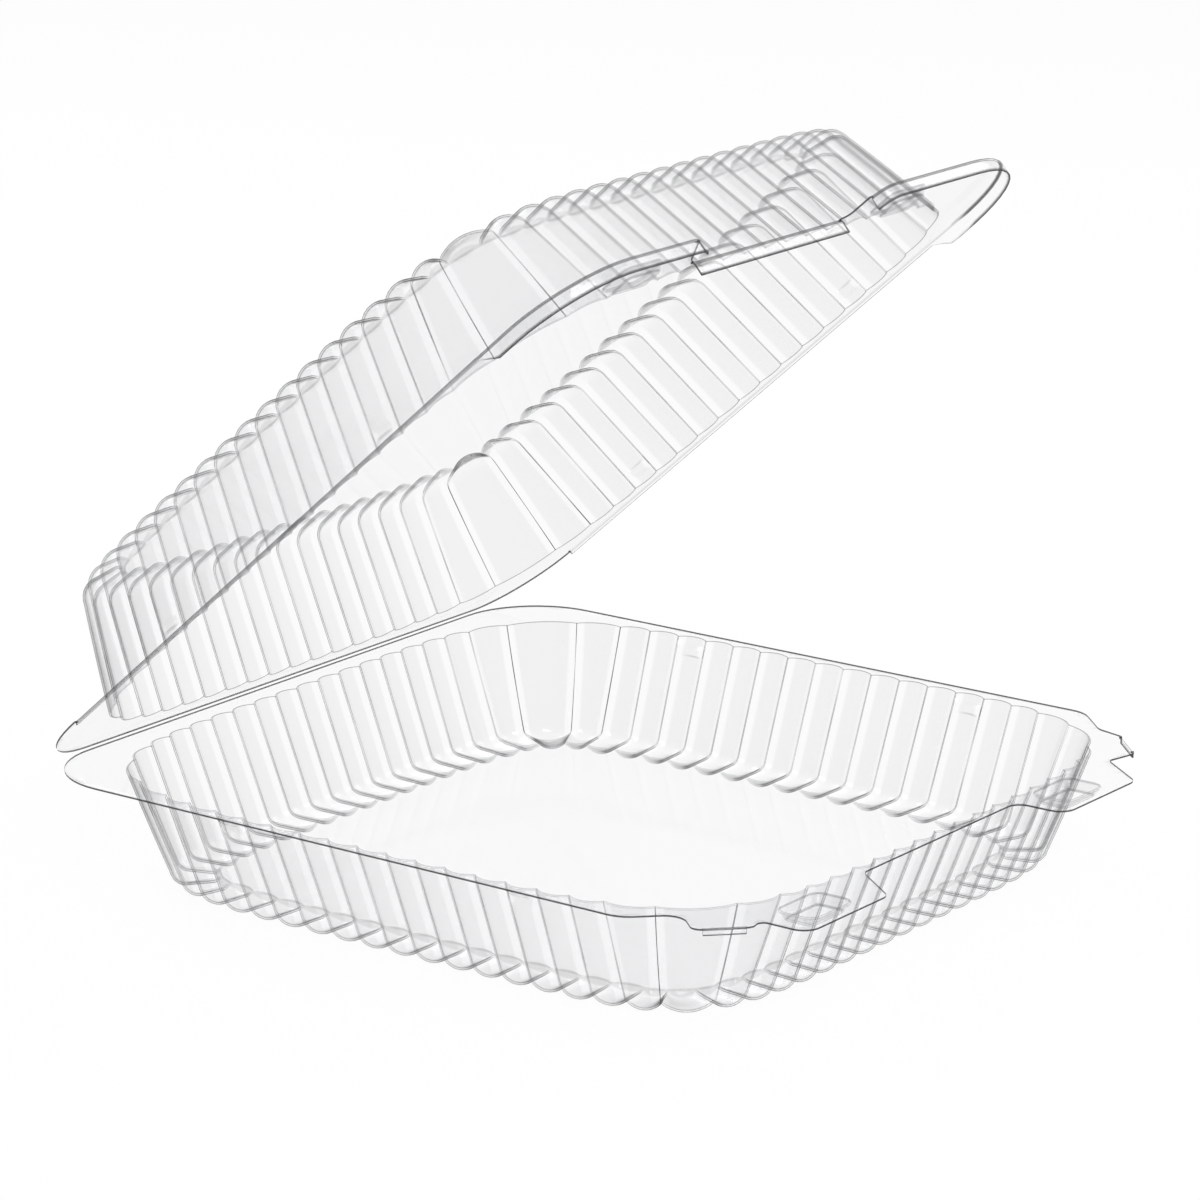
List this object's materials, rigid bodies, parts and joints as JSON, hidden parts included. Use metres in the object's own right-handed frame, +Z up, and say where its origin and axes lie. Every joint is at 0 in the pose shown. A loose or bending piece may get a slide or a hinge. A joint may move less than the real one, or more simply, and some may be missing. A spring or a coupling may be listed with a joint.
{
  "type": "hinged clamshell pack",
  "caption": "Clear hinged food pack: a square fluted tray and a fluted domed lid joined by a crease, with press latches on the front edge.",
  "frame": {"origin": "on the ground under the middle of the open pack", "axes": "+X along the crease, +Y from the front edge to the crease, +Z up"},
  "size_m": [0.2312, 0.265, 0.2092],
  "materials": {
    "clear_plastic": "clear gloss"
  },
  "bodies": {
    "base": {"base_tray": "clear_plastic"},
    "lid": {"lid": "clear_plastic"}
  },
  "joints": [
    {"name": "lid_hinge", "type": "hinge", "parent": "base", "child": "lid", "pos_m": [0, 0.12349, 0.03475], "axis": [-1, 0, 0], "range_deg": [-41, 129]}
  ]
}
